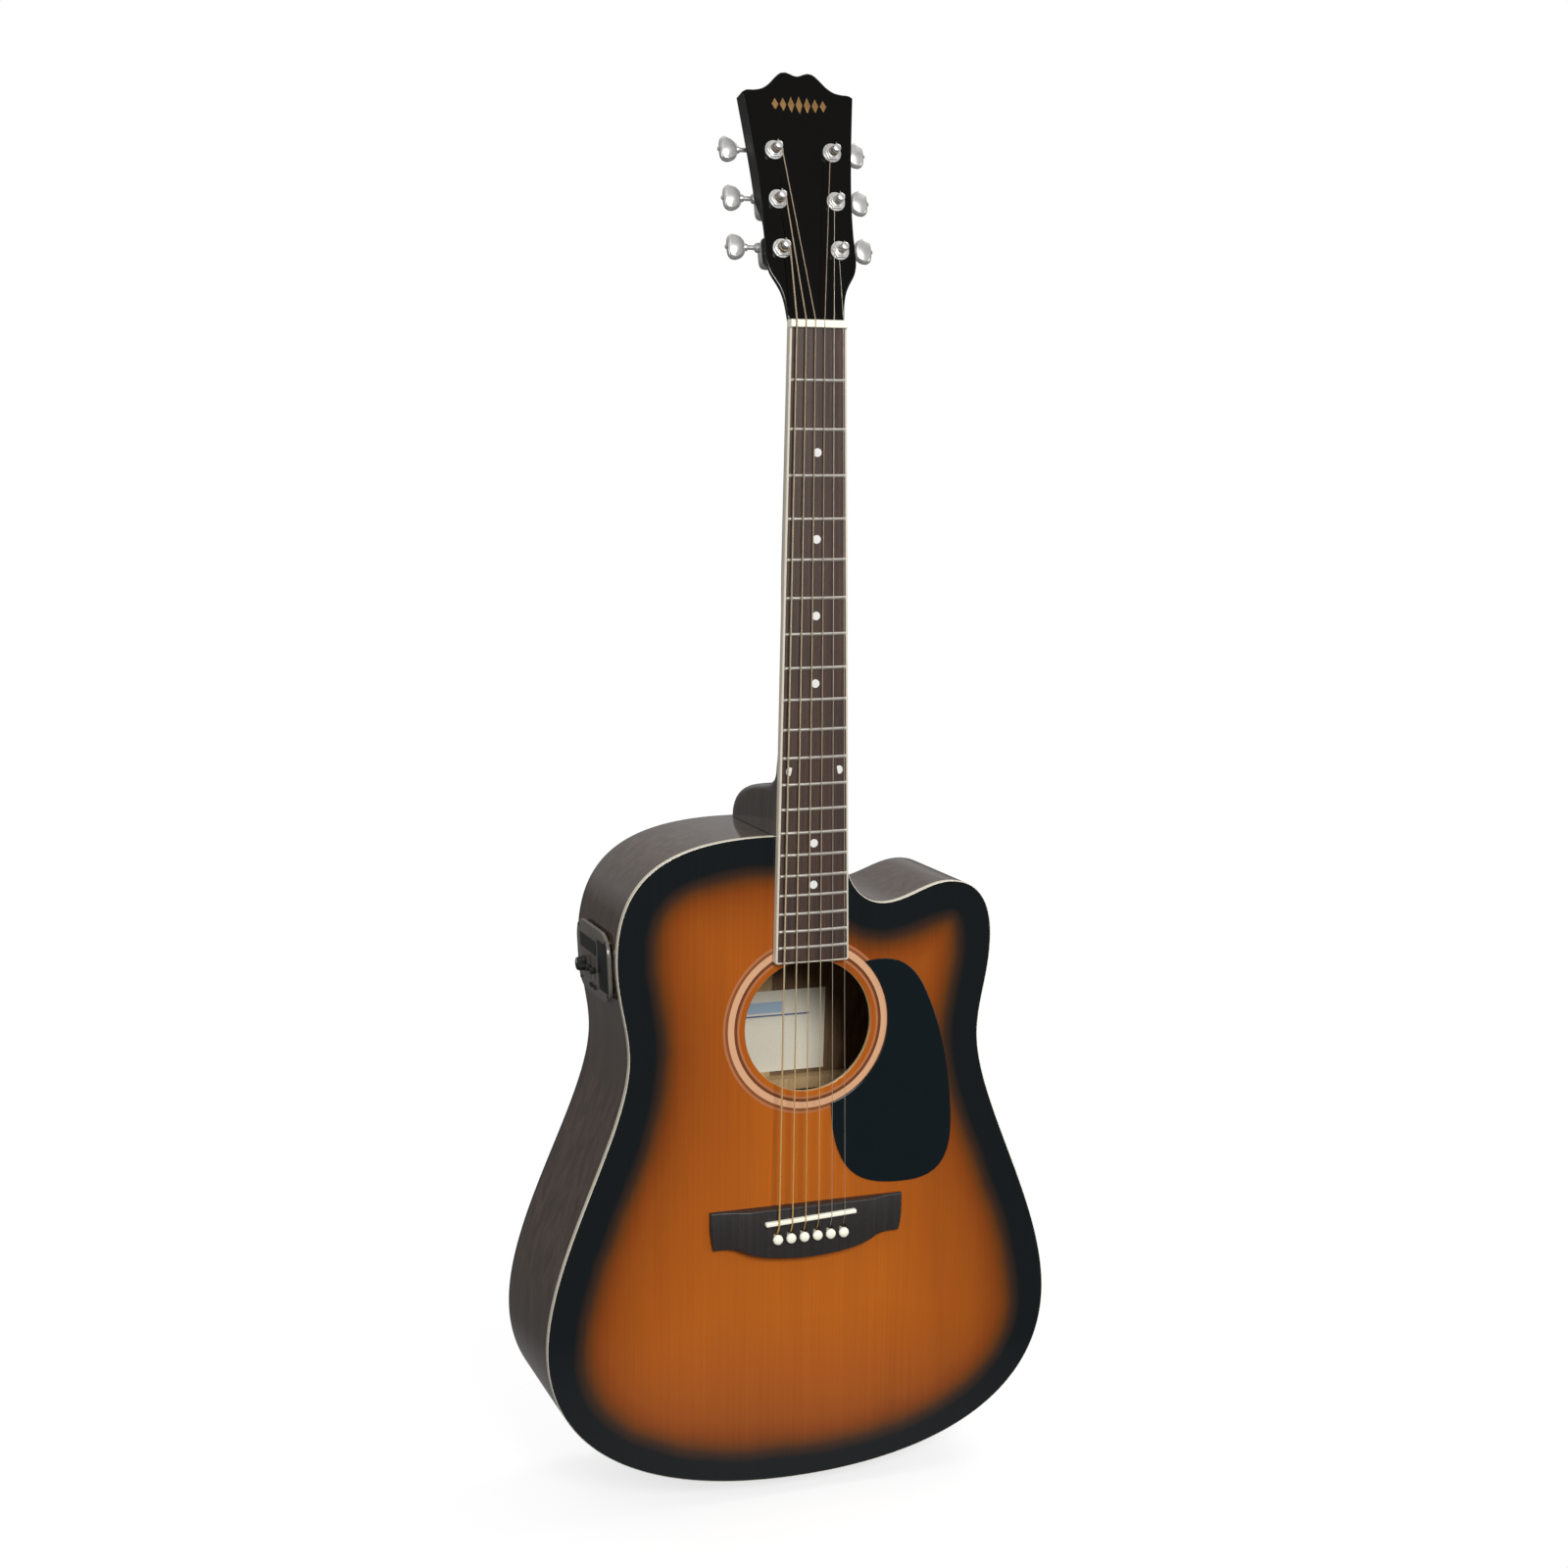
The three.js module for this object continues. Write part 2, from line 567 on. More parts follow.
const pickup = () => saddleBlock(SADDLE_HALF, 1.4, PICKUP_FRONT_Y, SLOT_FLOOR_Y - GAP);
const saddle = () => saddleBlock(SADDLE_HALF, SADDLE_THICKNESS / 2, SADDLE_TOP_Y, PICKUP_FRONT_Y - GAP);

const GUARD_THICKNESS = 1;
const GUARD_HUG_RADIUS = SOUNDHOLE_RADIUS + 13.8;
const GUARD_START = THREE.MathUtils.degToRad(46);
const GUARD_END = THREE.MathUtils.degToRad(-73);
const GUARD_LENGTH = 127;
const GUARD_WIDEST_X = 117;

/** Teardrop guard: it hugs the rosette's outer rings, then swells beside the bridge. */
function pickguard() {
  const at = (x, drop) => v2(x, SOUNDHOLE_Z - drop);
  const onArc = (angle) => at(GUARD_HUG_RADIUS * Math.cos(angle), -GUARD_HUG_RADIUS * Math.sin(angle));
  const outer = curveChain(onArc(GUARD_START), [
    [at(72, -50), at(86, -42), at(98, -12), 5],
    [at(109, 12), at(GUARD_WIDEST_X, 54), at(GUARD_WIDEST_X, 86), 5],
    [at(GUARD_WIDEST_X, 113), at(107, GUARD_LENGTH), at(80, GUARD_LENGTH), 6],
    [at(46, GUARD_LENGTH), at(21, GUARD_LENGTH - 6), onArc(GUARD_END), 8],
  ]);
  const arc = new THREE.Path().absarc(0, SOUNDHOLE_Z, GUARD_HUG_RADIUS, GUARD_END, GUARD_START, false);
  const edge = [...outer.slice(0, -1), ...arc.getPoints(18).slice(0, -1)];
  return plate(edge, [], fixed(TOP_Y - GAP - GUARD_THICKNESS), fixed(TOP_Y - GAP));
}

/** Bridge pin: tapered shank with a domed head, its axis along Y, tip inside the body. */
function bridgePin(x) {
  const seat = bridgeFaceY(0) - GAP;
  const profile = [[0, 0], [2.2, 0.5], [3.5, 1.7], [3.9, 3.2], [3.5, 4], [2.5, 4], [2.1, 27], [0, 28.5]];
  return turned(profile, 12).translate(x, seat - 4, PIN_Z);
}

// ---------------------------------------------------------------- neck

const boardRow = (side, z, edge) => v2(side * (boardHalfWidth(z) - edge), z);
const BOARD_BINDING = 1.5;
const BOARD_STATIONS = [BOARD_END_Z + BOARD_BINDING + 0.1, BODY_TOP_Z, NUT_Z];

const FRET_CROWN_WIDTH = 2.4;
const FRET_CROWN_HEIGHT = 1.1;
const FRET_TANG_DEPTH = 2.4;
const SLIT = 0.05;
const spineY = (z) => boardFrontY(z) + 1.2;

function fretZs() {
  return Array.from({ length: FRET_COUNT }, (_, i) => NUT_Z - fretDistance(i + 1));
}

/** Twenty fret wires; the thin spine that joins them lies inside the board. */
function fretSet() {
  const low = BOARD_END_Z + BOARD_BINDING + 1;
  const ends = [low, NUT_Z - fretDistance(1)];
  let set = toSolid(quadSweep(ends.map((z) => v2(-0.4, z)), ends.map((z) => v2(0.4, z)),
    (p) => spineY(p.y), (p) => spineY(p.y) + 1));
  for (const z of fretZs()) {
    const end = boardHalfWidth(z) - BOARD_BINDING;
    const tangEnd = end - 0.8;
    const face = boardFrontY(z) - SLIT;
    const halfCrown = FRET_CROWN_WIDTH / 2;
    const crown = box(-end, end, face - FRET_CROWN_HEIGHT, face, z - halfCrown, z + halfCrown);
    const tang = box(-tangEnd, tangEnd, face - 0.5, face + FRET_TANG_DEPTH, z - 0.3, z + 0.3);
    set = set.add(toSolid(crown)).add(toSolid(tang));
  }
  return fromSolid(set);
}

function fingerboard() {
  const edge = BOARD_BINDING + 0.1;
  const board = quadSweep(
    BOARD_STATIONS.map((z) => boardRow(-1, z, edge)), BOARD_STATIONS.map((z) => boardRow(1, z, edge)),
    (p) => boardFrontY(p.y), (p) => boardBackY(p.y));
  let solid = toSolid(board);
  for (const z of fretZs()) {
    const end = boardHalfWidth(z) - BOARD_BINDING - 0.5;
    const face = boardFrontY(z);
    const slot = box(-end, end, face - 1, face + FRET_TANG_DEPTH + 0.2, z - 0.45, z + 0.45);
    solid = solid.subtract(toSolid(slot));
  }
  const ends = [BOARD_END_Z, NUT_Z - fretDistance(1) + 0.4];
  const tunnel = quadSweep(ends.map((z) => v2(-0.6, z)), ends.map((z) => v2(0.6, z)),
    (p) => spineY(p.y) - 0.2, (p) => spineY(p.y) + 1.2);
  return fromSolid(solid.subtract(toSolid(tunnel)));
}

/** Cream strip down both edges of the board and across its lower end. */
function fingerboardBinding() {
  const outer = [boardRow(-1, NUT_Z, 0), boardRow(-1, BODY_TOP_Z, 0), boardRow(-1, BOARD_END_Z, 0),
    boardRow(1, BOARD_END_Z, 0), boardRow(1, BODY_TOP_Z, 0), boardRow(1, NUT_Z, 0)];
  const lift = BOARD_END_Z + BOARD_BINDING;
  const inside = [boardRow(-1, NUT_Z, BOARD_BINDING), boardRow(-1, BODY_TOP_Z, BOARD_BINDING),
    boardRow(-1, lift, BOARD_BINDING), boardRow(1, lift, BOARD_BINDING),
    boardRow(1, BODY_TOP_Z, BOARD_BINDING), boardRow(1, NUT_Z, BOARD_BINDING)];
  return quadSweep(outer, inside, (p) => boardFrontY(p.y), (p) => boardBackY(p.y));
}

const NUT_TOP_Y = boardFrontY(NUT_Z) - 2.2;

function nut() {
  const half = NUT_WIDTH / 2;
  return box(-half, half, NUT_TOP_Y, boardBackY(NUT_Z), NUT_Z + 0.1, NUT_Z + NUT_LENGTH);
}

// The headstock's own frame: x across, y into the wood, z up its face from the nut.
const headFrame = new THREE.Group();
headFrame.position.set(0, boardFrontY(NUT_Z) + HEAD_FACE_BELOW_BOARD, NUT_Z + NUT_LENGTH + GAP);
headFrame.rotation.x = -HEAD_TILT;
headFrame.updateMatrixWorld(true);

const POST_X = 22;
const FIRST_POST_HEIGHT = 50.8;
const POST_SPACING = 35.8;
const POST_HEIGHTS = [0, 1, 2].map((row) => FIRST_POST_HEIGHT + row * POST_SPACING);
const POST_HOLE = 5;

/** Head outline: a waist above the nut, long flared sides and an open-book top. */
function headOutline() {
  const right = curveChain(v2(NUT_WIDTH / 2, 0), [
    [v2(22.5, 14), v2(24, 21), v2(29, 28), 4],
    [v2(33, 33.5), v2(34.4, 38), v2(34.4, 46), 3],
    [v2(32.7, 80), v2(36, 112), v2(42, 164.5), 7],
    [v2(41.5, 166.2), v2(38, 166.2), v2(34, 166.3), 2],
    [v2(23, 167), v2(20, 174), v2(15, 178), 4],
    [v2(12, 181.2), v2(8, 181), v2(5, 179.6), 3],
    [v2(3.5, 178.9), v2(1.5, 178), v2(0, 178), 2],
  ]);
  return [...right, ...right.slice(1, -1).reverse().map((p) => v2(-p.x, p.y)), v2(-NUT_WIDTH / 2, 0)];
}

// The back of the neck is a superellipse: 2 gives an ellipse, higher powers square it off.
const SHAFT_BOXINESS = 1.9;
const HEEL_BOXINESS = 12;
const HEEL_DEPTH = DEPTH_AT_NECK;
const HEEL_SWELL = 2.5;
// Heel profile as (height above the body, depth): a tall round shoulder, then a tight turn into the shaft.
const HEEL_PROFILE = curveChain(v2(GAP, HEEL_DEPTH), [
  [v2(12, HEEL_DEPTH), v2(23, 88), v2(29, 62), 6],
  [v2(35, 36), v2(32, 18.5), v2(50, 17), 6],
]);
const MID_SHAFT = { height: 200, depth: 16.2 };

/** D-shaped section of the neck at height z: flat against the board, round behind. */
function neckSection(z, depth) {
  const share = (depth - NECK_DEPTH_AT_NUT) / (HEEL_DEPTH - NECK_DEPTH_AT_NUT);
  const half = boardHalfWidth(Math.min(z, NUT_Z)) - GAP + HEEL_SWELL * share;
  const front = boardBackY(Math.min(z, NUT_Z)) + GAP;
  const steps = 12;
  const boxiness = SHAFT_BOXINESS + share * (HEEL_BOXINESS - SHAFT_BOXINESS);
  return Array.from({ length: steps + 1 }, (_, i) => {
    const angle = (Math.PI * i) / steps;
    const c = Math.cos(angle);
    const s = Math.max(0, Math.sin(angle));
    const x = half * Math.sign(c) * Math.abs(c) ** (2 / boxiness);
    return new THREE.Vector3(i === steps ? -half : x, front + depth * s ** (2 / boxiness), z);
  });
}

/** Neck shaft that deepens into the heel, the tilted headstock, and the tenon into the body. */
function neck() {
  const rings = HEEL_PROFILE.map((p) => neckSection(BODY_TOP_Z + p.x, p.y));
  rings.push(neckSection(BODY_TOP_Z + MID_SHAFT.height, MID_SHAFT.depth));
  rings.push(neckSection(NUT_Z - 12, NECK_DEPTH_AT_NUT));
  rings.push(neckSection(NUT_Z + NUT_LENGTH, NECK_DEPTH_AT_NUT));
  const shaft = loft(rings);
  const tenon = box(-TENON_HALF, TENON_HALF, TENON_FRONT_Y, TENON_REAR_Y,
    BODY_TOP_Z - TENON_LENGTH, BODY_TOP_Z + 2);
  const head = plate(headOutline(), [], fixed(0), fixed(HEAD_THICKNESS)).applyMatrix4(headFrame.matrixWorld);
  const holes = [];
  for (const side of [-1, 1]) {
    for (const height of POST_HEIGHTS) {
      const hole = rod(POST_HOLE, side * POST_X, height, -5, HEAD_THICKNESS + 5, 12);
      holes.push(hole.applyMatrix4(headFrame.matrixWorld));
    }
  }
  const channel = box(-ROD_CHANNEL / 2, ROD_CHANNEL / 2, TOP_Y - 2, ROD_Y + ROD_CHANNEL / 2,
    BODY_TOP_Z - TENON_LENGTH - 1, NUT_Z - 9);
  const nutShelf = box(-NUT_WIDTH, NUT_WIDTH, TOP_Y - 20, boardBackY(NUT_Z) + GAP,
    NUT_Z - 1, NUT_Z + NUT_LENGTH + GAP);
  return cut(joined(shaft, tenon, head), channel, nutShelf, ...holes);
}

const ROD_TOP_Z = NUT_Z - 10;
const ROD_LOW_Z = blockTopZ - BLOCK_LENGTH - 2;

const trussRod = () => rod(ROD_RADIUS, 0, 0, 0, ROD_TOP_Z - ROD_LOW_Z, 10)
  .rotateX(Math.PI / 2).translate(0, ROD_Y, ROD_LOW_Z);

/** Adjusting nut on the rod's lower end, reached through the soundhole. */
function trussRodNut() {
  const hex = rod(3.6, 0, 0, -10, 0, 6);
  const socket = rod(2, 0, 0, -11, -5, 6);
  return cut(hex, socket).rotateX(Math.PI / 2).translate(0, ROD_Y, ROD_LOW_Z - GAP);
}

// ---------------------------------------------------------------- tuning machines

const SHAFT_OFFSET = 7.2;
const SHAFT_DEPTH = HEAD_THICKNESS + 6.3;
const SHAFT_RADIUS = 1.7;
const POST_RADIUS = 3;
const POST_WAIST_RADIUS = 2.4;
const POST_TOP = -12;
const WHEEL_RADIUS = 5.1;
const WHEEL_THICKNESS = 4.4;
const HEX_NUT_RADIUS = 6.6;
const HEX_NUT_TOP = -2.9;
const HOUSING = { inner: -8, outer: 9, low: -8, high: 12, corner: 2.5, depth: 10.7 };
const BUTTON_START = 19.5;
const BUTTON_LENGTH = 15;
const BUTTON_HALF_WIDTH = 9.3;
const BUTTON_BEVEL = { thick: 1.3, wide: 1.2 };
const BUTTON_CORE = 3.6;

/** Sealed housing with its bushing through the headstock and the hex nut in front. */
function tunerHousing(side) {
  const { inner: x0, outer: x1, low: z0, high: z1, corner } = HOUSING;
  const front = HEAD_THICKNESS + GAP;
  const rear = front + HOUSING.depth;
  const shape = [
    v2(x0, z0 + corner), v2(x0 + corner, z0), v2(x1 - corner, z0), v2(x1, z0 + corner),
    v2(x1, z1 - corner), v2(x1 - corner, z1), v2(x0 + corner, z1), v2(x0, z1 - corner),
  ];
  const facing = shape.map((p) => v2(side * p.x, p.y));
  const body = plate(facing, [], fixed(front), fixed(rear));
  const bushing = rod(POST_HOLE - GAP, 0, 0, -1, front + 1, 12);
  const hexNut = rod(HEX_NUT_RADIUS, 0, 0, HEX_NUT_TOP, -GAP, 6);
  const bore = rod(POST_RADIUS + 0.35, 0, 0, HEX_NUT_TOP - 1, rear - 4, 10);
  const wheelRoom = rod(WHEEL_RADIUS + 0.45, 0, 0, SHAFT_DEPTH - 2.6, SHAFT_DEPTH + 2.6, 12);
  const shaftEnds = [-5.5, x1 + 1].map((x) => side * x).sort((a, b) => a - b);
  const shaftRoom = rod(SHAFT_RADIUS + 0.35, 0, 0, ...shaftEnds, 8).rotateZ(-Math.PI / 2)
    .translate(0, SHAFT_DEPTH, SHAFT_OFFSET);
  return cut(joined(body, bushing, hexNut), bore, wheelRoom, shaftRoom);
}

/** String post, waisted where the string winds, with its worm wheel inside the housing. */
function tunerPost() {
  const bottom = SHAFT_DEPTH + WHEEL_THICKNESS / 2;
  const wheelTop = bottom - WHEEL_THICKNESS;
  return turned([[0, POST_TOP], [POST_WAIST_RADIUS, POST_TOP], [POST_RADIUS, POST_TOP + 0.8],
    [POST_RADIUS, POST_TOP + 3], [POST_WAIST_RADIUS, POST_TOP + 4], [POST_WAIST_RADIUS, POST_TOP + 7],
    [POST_RADIUS, POST_TOP + 8], [POST_RADIUS, wheelTop], [WHEEL_RADIUS, wheelTop],
    [WHEEL_RADIUS, bottom], [0, bottom]], 10);
}

/** Kidney-shaped button on its worm shaft, along X. */
function tunerKnob(side) {
  const shape = new THREE.Shape();
  const half = BUTTON_HALF_WIDTH;
  const x1 = BUTTON_LENGTH - 2 * BUTTON_BEVEL.wide;
  shape.moveTo(0, 2.6);
  shape.bezierCurveTo(3, 3.4, 2.6, half - 1, x1 / 2, half - 1.2);
  shape.bezierCurveTo(x1, half - 1.4, x1 + 0.6, 3.4, x1 - 0.6, 0);
  shape.bezierCurveTo(x1 + 0.6, -3.4, x1, -half + 1.4, x1 / 2, -half + 1.2);
  shape.bezierCurveTo(2.6, -half + 1, 3, -3.4, 0, -2.6);
  const button = new THREE.ExtrudeGeometry(shape, {
    depth: BUTTON_CORE, bevelEnabled: true, bevelThickness: BUTTON_BEVEL.thick, bevelSize: BUTTON_BEVEL.wide,
    bevelSegments: 1, curveSegments: 4,
  }).translate(BUTTON_START + BUTTON_BEVEL.wide, 0, -BUTTON_CORE / 2);
  const shaft = rod(SHAFT_RADIUS, 0, 0, -4.8, BUTTON_START + 4, 8).rotateZ(-Math.PI / 2);
  const knob = joined(shaft, button);
  if (side < 0) {
    knob.rotateY(Math.PI);
  }
  return knob.translate(0, SHAFT_DEPTH, SHAFT_OFFSET);
}

// ---------------------------------------------------------------- strings

// String 1 is the thinnest, on the treble side; the outer strings go to the posts nearest the nut.
const postOf = (i) => (i < 3 ? { side: -1, row: i } : { side: 1, row: 5 - i });

/** One string: ball end under the bridge plate, up past the pin, over saddle and nut to its post. */
function stringWire(i) {
  const r = STRING_RADII[i];
  const bridgeX = stringX(i, BRIDGE_STRING_STEP);
  const nutX = stringX(i, NUT_STRING_STEP);
  const passZ = PIN_Z + 4.7;
  const saddleZ = SADDLE_Z - 1 + Math.tan(SADDLE_SLANT) * bridgeX;
  const ballY = BRIDGE_PLATE_FRONT + BRIDGE_PLATE_THICKNESS + 0.6;
  const { side, row } = postOf(i);
  const post = new THREE.Vector3(side * (POST_X - POST_RADIUS - r - 0.2), POST_TOP + 5.5, POST_HEIGHTS[row]);
  post.applyMatrix4(headFrame.matrixWorld);
  const ball = 1.9;
  const crest = SADDLE_TOP_Y - r - 0.15;
  const points = [
    new THREE.Vector3(bridgeX, ballY + 3, passZ), new THREE.Vector3(bridgeX, ballY, passZ),
    new THREE.Vector3(bridgeX, ballY - 0.2, passZ), new THREE.Vector3(bridgeX, bridgeFaceY(0) - r, passZ),
    new THREE.Vector3(bridgeX, crest, saddleZ - SADDLE_THICKNESS / 2),
    new THREE.Vector3(bridgeX, crest, saddleZ + SADDLE_THICKNESS / 2),
    new THREE.Vector3(nutX, NUT_TOP_Y - r - 0.15, NUT_Z),
    new THREE.Vector3(nutX, NUT_TOP_Y - r - 0.15, NUT_Z + NUT_LENGTH), post,
  ];
  return wire(points, [ball, ball, r, r, r, r, r, r, r]);
}

// ---------------------------------------------------------------- preamp in the bass rib

const PREAMP_Z = TAIL_Z + 401;
const PREAMP_HALF_Z = 26;
const PREAMP_HALF_Y = 41;
const PREAMP_MID_Y = TOP_Y + 52;
const PREAMP_PROUD = 3.2;
const PREAMP_DEEP = 24;

// The panel's own frame: -x out of the rib, y towards the back, z up the rib.
const preampFrame = new THREE.Group();
const bassRibX = (z) => spanAt(z, 0)[0];
const panelRun = bassRibX(PREAMP_Z - PREAMP_HALF_Z) - bassRibX(PREAMP_Z + PREAMP_HALF_Z);
preampFrame.position.set(bassRibX(PREAMP_Z) - GAP, PREAMP_MID_Y, PREAMP_Z);
preampFrame.rotation.y = -Math.atan(panelRun / (2 * PREAMP_HALF_Z));
preampFrame.updateMatrixWorld(true);

function roundedRect(halfY, halfZ, radius, steps) {
  const shape = new THREE.Path();
  shape.absarc(halfY - radius, halfZ - radius, radius, 0, Math.PI / 2, false);
  shape.absarc(-halfY + radius, halfZ - radius, radius, Math.PI / 2, Math.PI, false);
  shape.absarc(-halfY + radius, -halfZ + radius, radius, Math.PI, 1.5 * Math.PI, false);
  shape.absarc(halfY - radius, -halfZ + radius, radius, 1.5 * Math.PI, 2 * Math.PI, false);
  return shape.getPoints(steps).slice(0, -1);
}

/** A plate lying in the panel's (y, z) plane between two x places. */
function panelPlate(points, x0, x1) {
  return plate(points, [], fixed(x0), fixed(x1)).rotateZ(-Math.PI / 2);
}

const DOOR = { y0: -36, y1: -14, half: 18, thick: 1.8, barrel: 1.25 };
const FADER_YS = [-4, 7];
const FADER_TRAVEL = 7;
const KNOB_Y = 22;
const CONTROLS_Z = -7;
const BEZEL_CORNER = 17;
const CASE_MARGIN = { y: 7, z: 6 };
const CUTOUT_CLEARANCE = 0.4;

/** Moulded case: a rounded bezel on the rib and a box inside with the battery bay. */
function preampHousing() {
  const rim = roundedRect(PREAMP_HALF_Y, PREAMP_HALF_Z, BEZEL_CORNER, 5);
  const bezel = panelPlate(rim.map((p) => v2(-p.x, p.y)), -PREAMP_PROUD, -0.6);
  const caseY = PREAMP_HALF_Y - CASE_MARGIN.y;
  const caseZ = PREAMP_HALF_Z - CASE_MARGIN.z;
  const innerBox = box(-1.2, PREAMP_DEEP, -caseY, caseY, -caseZ, caseZ);
  const outside = -PREAMP_PROUD - 1;
  const bayHalf = DOOR.half + 0.5;
  const bay = box(outside, PREAMP_DEEP - 2.5, DOOR.y0 + 1.6, DOOR.y1 + 0.5, -bayHalf, bayHalf);
  const grooveFloor = -PREAMP_PROUD + 2.9;
  const hingeGroove = box(outside, grooveFloor, DOOR.y0 - 1.7, DOOR.y0 + 2, -bayHalf, bayHalf);
  const trackHalf = FADER_TRAVEL + 2;
  const tracks = FADER_YS.map((y) => box(outside, PREAMP_DEEP - 14, y - 0.9, y + 0.9,
    CONTROLS_Z - trackHalf, CONTROLS_Z + trackHalf));
  const spindle = rod(1.9, 0, 0, outside, 8, 12).rotateZ(-Math.PI / 2).translate(0, KNOB_Y, CONTROLS_Z);
  return cut(joined(bezel, innerBox), bay, hingeGroove, ...tracks, spindle);
}

/** Round volume knob with a spindle into the case. */
function volumeKnob() {
  const face = -PREAMP_PROUD - GAP;
  const knob = turned([[0, face - 6.5], [4.6, face - 6.5], [5.2, face - 5.9], [5.6, face], [1.5, face],
    [1.5, 6], [0, 6]], 20);
  return knob.rotateZ(-Math.PI / 2).translate(0, KNOB_Y, CONTROLS_Z);
}

/** Fader cap with its stem in the track at y. */
function fader(y) {
  const face = -PREAMP_PROUD - GAP;
  const cap = box(face - 3.4, face, y - 2.6, y + 2.6, CONTROLS_Z - 2, CONTROLS_Z + 2);
  const stem = box(face - 1, PREAMP_DEEP - 15, y - 0.55, y + 0.55, CONTROLS_Z - 1, CONTROLS_Z + 1);
  return joined(cap, stem);
}

/** Battery door with a round hinge barrel along its front edge and a lip for the finger. */
function batteryDoor() {
  const outer = -PREAMP_PROUD;
  const leaf = box(outer, outer + DOOR.thick, DOOR.y0, DOOR.y1, -DOOR.half, DOOR.half);
  const barrel = rod(DOOR.barrel, 0, 0, -DOOR.half, DOOR.half, 12).rotateX(Math.PI / 2);
  barrel.translate(outer + DOOR.barrel, DOOR.y0, 0);
  const lip = box(outer - 0.9, outer + 0.5, DOOR.y1 - 3.5, DOOR.y1 - 1.5, -6, 6);
  return joined(leaf, barrel, lip);
}

function preampCutout() {
  const halfY = PREAMP_HALF_Y - CASE_MARGIN.y + CUTOUT_CLEARANCE;
  const halfZ = PREAMP_HALF_Z - CASE_MARGIN.z + CUTOUT_CLEARANCE;
  const hole = box(-12, PREAMP_DEEP + 6, -halfY, halfY, -halfZ, halfZ);
  return hole.applyMatrix4(preampFrame.matrixWorld);
}

// The output jack sits in the tail, on the bass side of the end pin.
const jackFrame = new THREE.Group();
const jackPoint = new THREE.CubicBezierCurve(v2(0, TAIL_Z), ...lowerHalf()[0].slice(0, 3)).getPoint(0.1);
jackFrame.position.set(-jackPoint.x, 0, jackPoint.y);
jackFrame.rotation.set(Math.PI / 2, 0, 0);
jackFrame.updateMatrixWorld(true);
const jackHole = () => rod(JACK_SLEEVE + 0.4, 0, 0, -8, 12, 16).applyMatrix4(jackFrame.matrixWorld);

// ---------------------------------------------------------------- materials and assembly

function finish(color, roughness, metalness = 0) {
  return new THREE.MeshStandardMaterial({ color, roughness, metalness });
}

const finishes = {
  spruce: () => finish(0xaa5a1e, 0.3),
  mahogany: () => finish(0x463430, 0.28),
  binding: () => finish(0xd8d0c0, 0.35),
  bareWood: () => finish(0xc9a878, 0.8),
  rosewood: () => finish(0x4a3a30, 0.6),
  blackGloss: () => finish(0x10141c, 0.12),
  blackPlastic: () => finish(0x18181a, 0.45),
  bone: () => finish(0xe8e2d2, 0.45),
  nickel: () => finish(0xb8b8b4, 0.3, 1),
  chrome: () => finish(0xd0d2d4, 0.12, 1),
  bronze: () => finish(0xa87840, 0.35, 1),
  steel: () => finish(0xa8aaac, 0.3, 1),
};

const guitar = new THREE.Group();

function add(parent, name, geometry, material) {
  const shaded = geometry.index ? geometry.toNonIndexed() : geometry;
  shaded.computeVertexNormals();
  const mesh = new THREE.Mesh(shaded, material);
  mesh.name = name;
  parent.add(mesh);
}

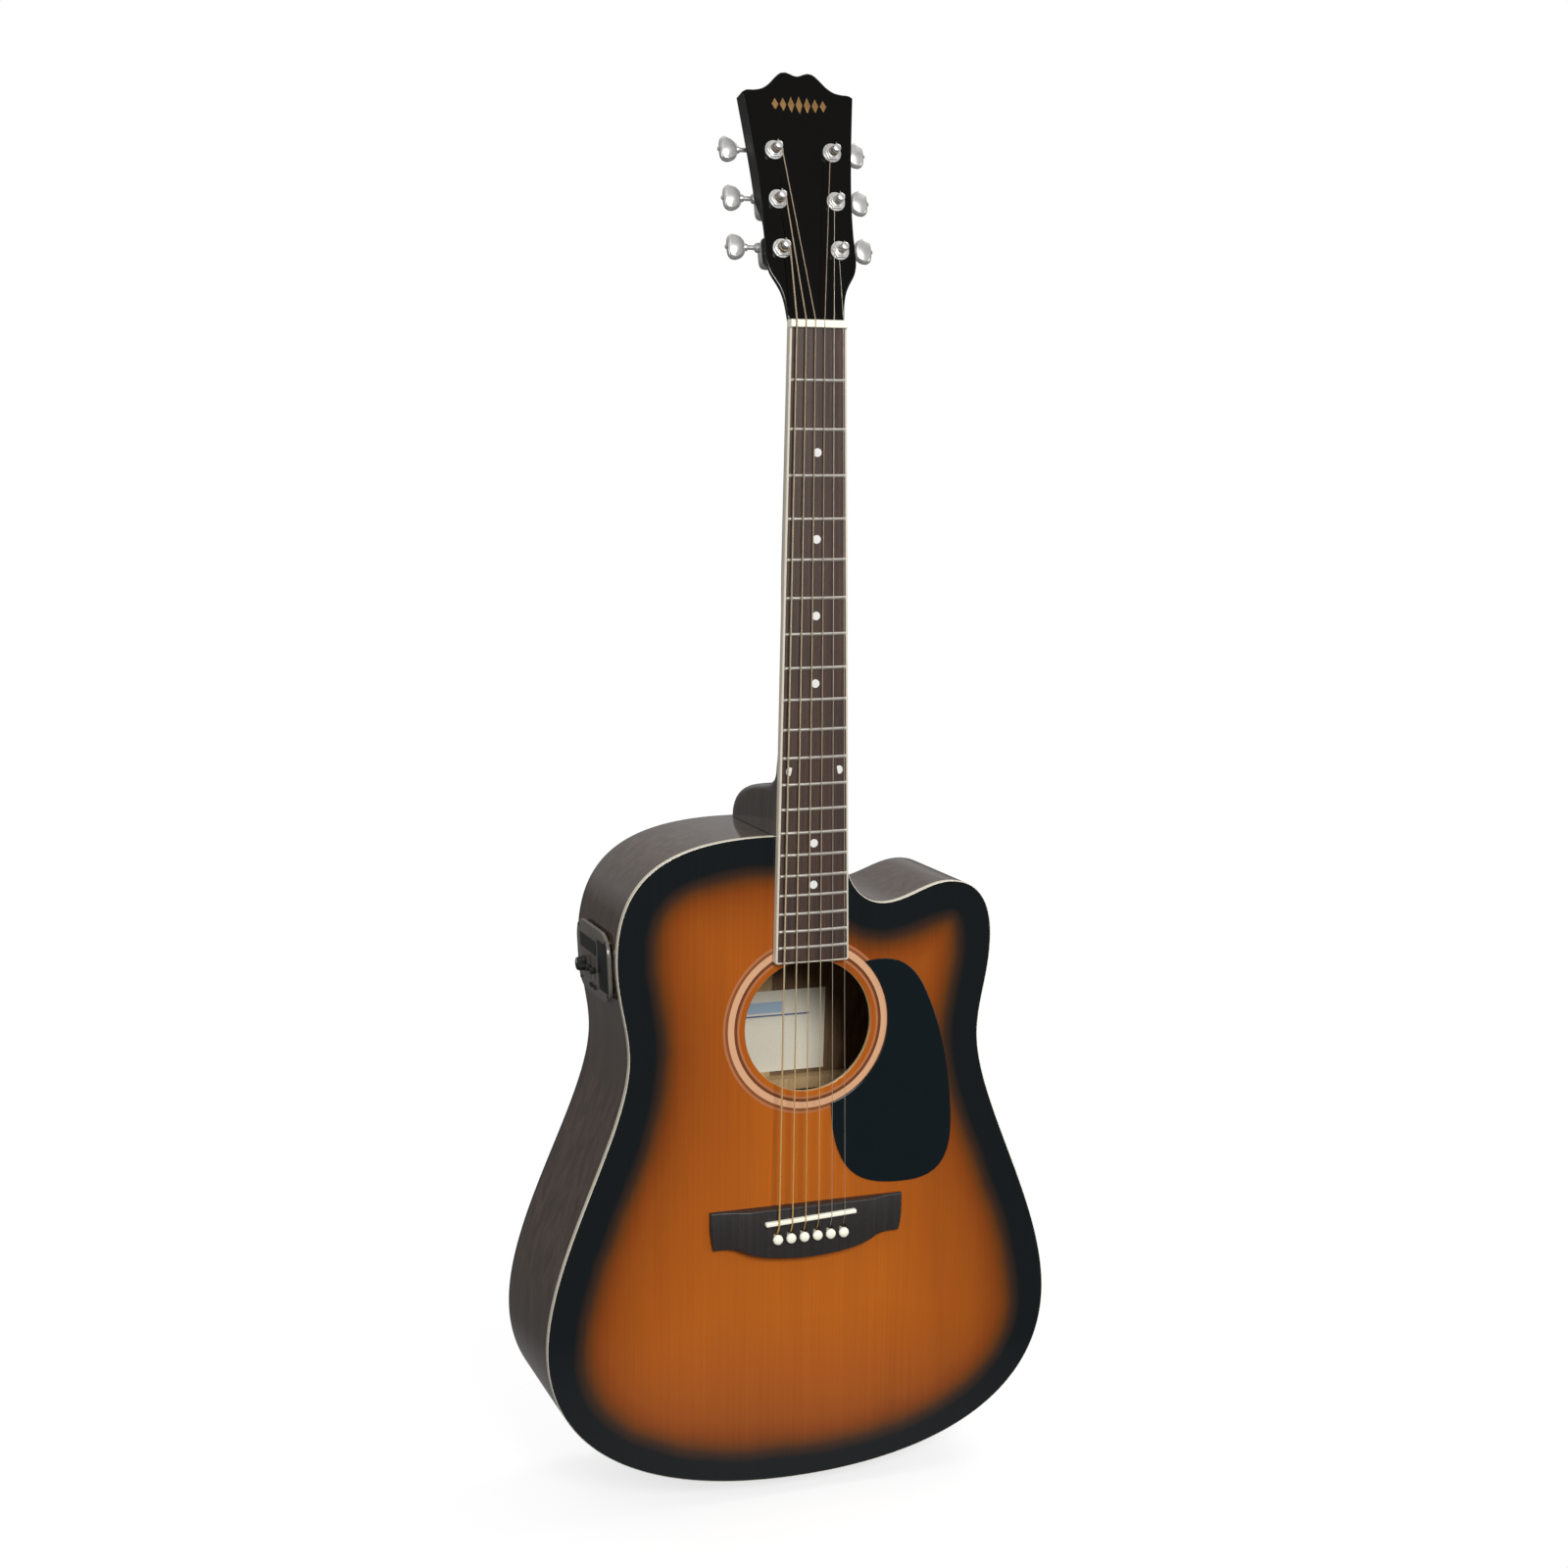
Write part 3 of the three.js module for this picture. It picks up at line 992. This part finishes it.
add(guitar, 'soundboard', soundboard(), finishes.spruce());
add(guitar, 'back_plate', backPlate(), finishes.mahogany());
add(guitar, 'rib_treble', ribTreble(), finishes.mahogany());
add(guitar, 'rib_bass', ribBass(preampCutout(), jackHole()), finishes.mahogany());
add(guitar, 'binding_top', bindingTop(), finishes.binding());
add(guitar, 'binding_back', bindingBack(), finishes.blackGloss());
add(guitar, 'lining_top', liningTop(), finishes.bareWood());
add(guitar, 'lining_back', liningBack(), finishes.bareWood());
add(guitar, 'neck_block', neckBlock(), finishes.bareWood());
add(guitar, 'tail_block', tailBlock(), finishes.bareWood());
add(guitar, 'top_bracing', topBracing(), finishes.bareWood());
add(guitar, 'back_bracing', backBracing(), finishes.bareWood());
add(guitar, 'end_pin', endPin(), finishes.chrome());
add(guitar, 'pickguard', pickguard(), finishes.blackGloss());
add(guitar, 'bridge', bridge(), finishes.rosewood());
add(guitar, 'saddle', saddle(), finishes.bone());
add(guitar, 'piezo_pickup', pickup(), finishes.bronze());

add(guitar, 'neck', neck(), finishes.mahogany());
add(guitar, 'fingerboard', fingerboard(), finishes.rosewood());
add(guitar, 'fingerboard_binding', fingerboardBinding(), finishes.binding());
add(guitar, 'fret_set', fretSet(), finishes.nickel());
add(guitar, 'nut', nut(), finishes.bone());
add(guitar, 'truss_rod', trussRod(), finishes.steel());
add(guitar, 'truss_rod_nut', trussRodNut(), finishes.steel());

for (let i = 0; i < STRING_COUNT; i++) {
  const number = STRING_COUNT - i;
  const wound = number > 2;
  add(guitar, `string_${number}`, stringWire(i), wound ? finishes.bronze() : finishes.steel());
  add(guitar, `bridge_pin_${number}`, bridgePin(stringX(i, BRIDGE_STRING_STEP)), finishes.bone());
  const { side, row } = postOf(i);
  const machine = new THREE.Group();
  machine.position.set(side * POST_X, 0, POST_HEIGHTS[row]);
  add(machine, `tuner_housing_${number}`, tunerHousing(side), finishes.chrome());
  add(machine, `tuner_post_${number}`, tunerPost(), finishes.chrome());
  add(machine, `tuner_knob_${number}`, tunerKnob(side), finishes.chrome());
  headFrame.add(machine);
}
guitar.add(headFrame);

add(preampFrame, 'preamp_housing', preampHousing(), finishes.blackPlastic());
add(preampFrame, 'preamp_volume_knob', volumeKnob(), finishes.blackPlastic());
add(preampFrame, 'preamp_slider_bass', fader(FADER_YS[0]), finishes.blackPlastic());
add(preampFrame, 'preamp_slider_treble', fader(FADER_YS[1]), finishes.blackPlastic());
add(preampFrame, 'battery_door', batteryDoor(), finishes.blackPlastic());
guitar.add(preampFrame);

add(jackFrame, 'output_jack', outputJack(), finishes.chrome());
guitar.add(jackFrame);

export default guitar;
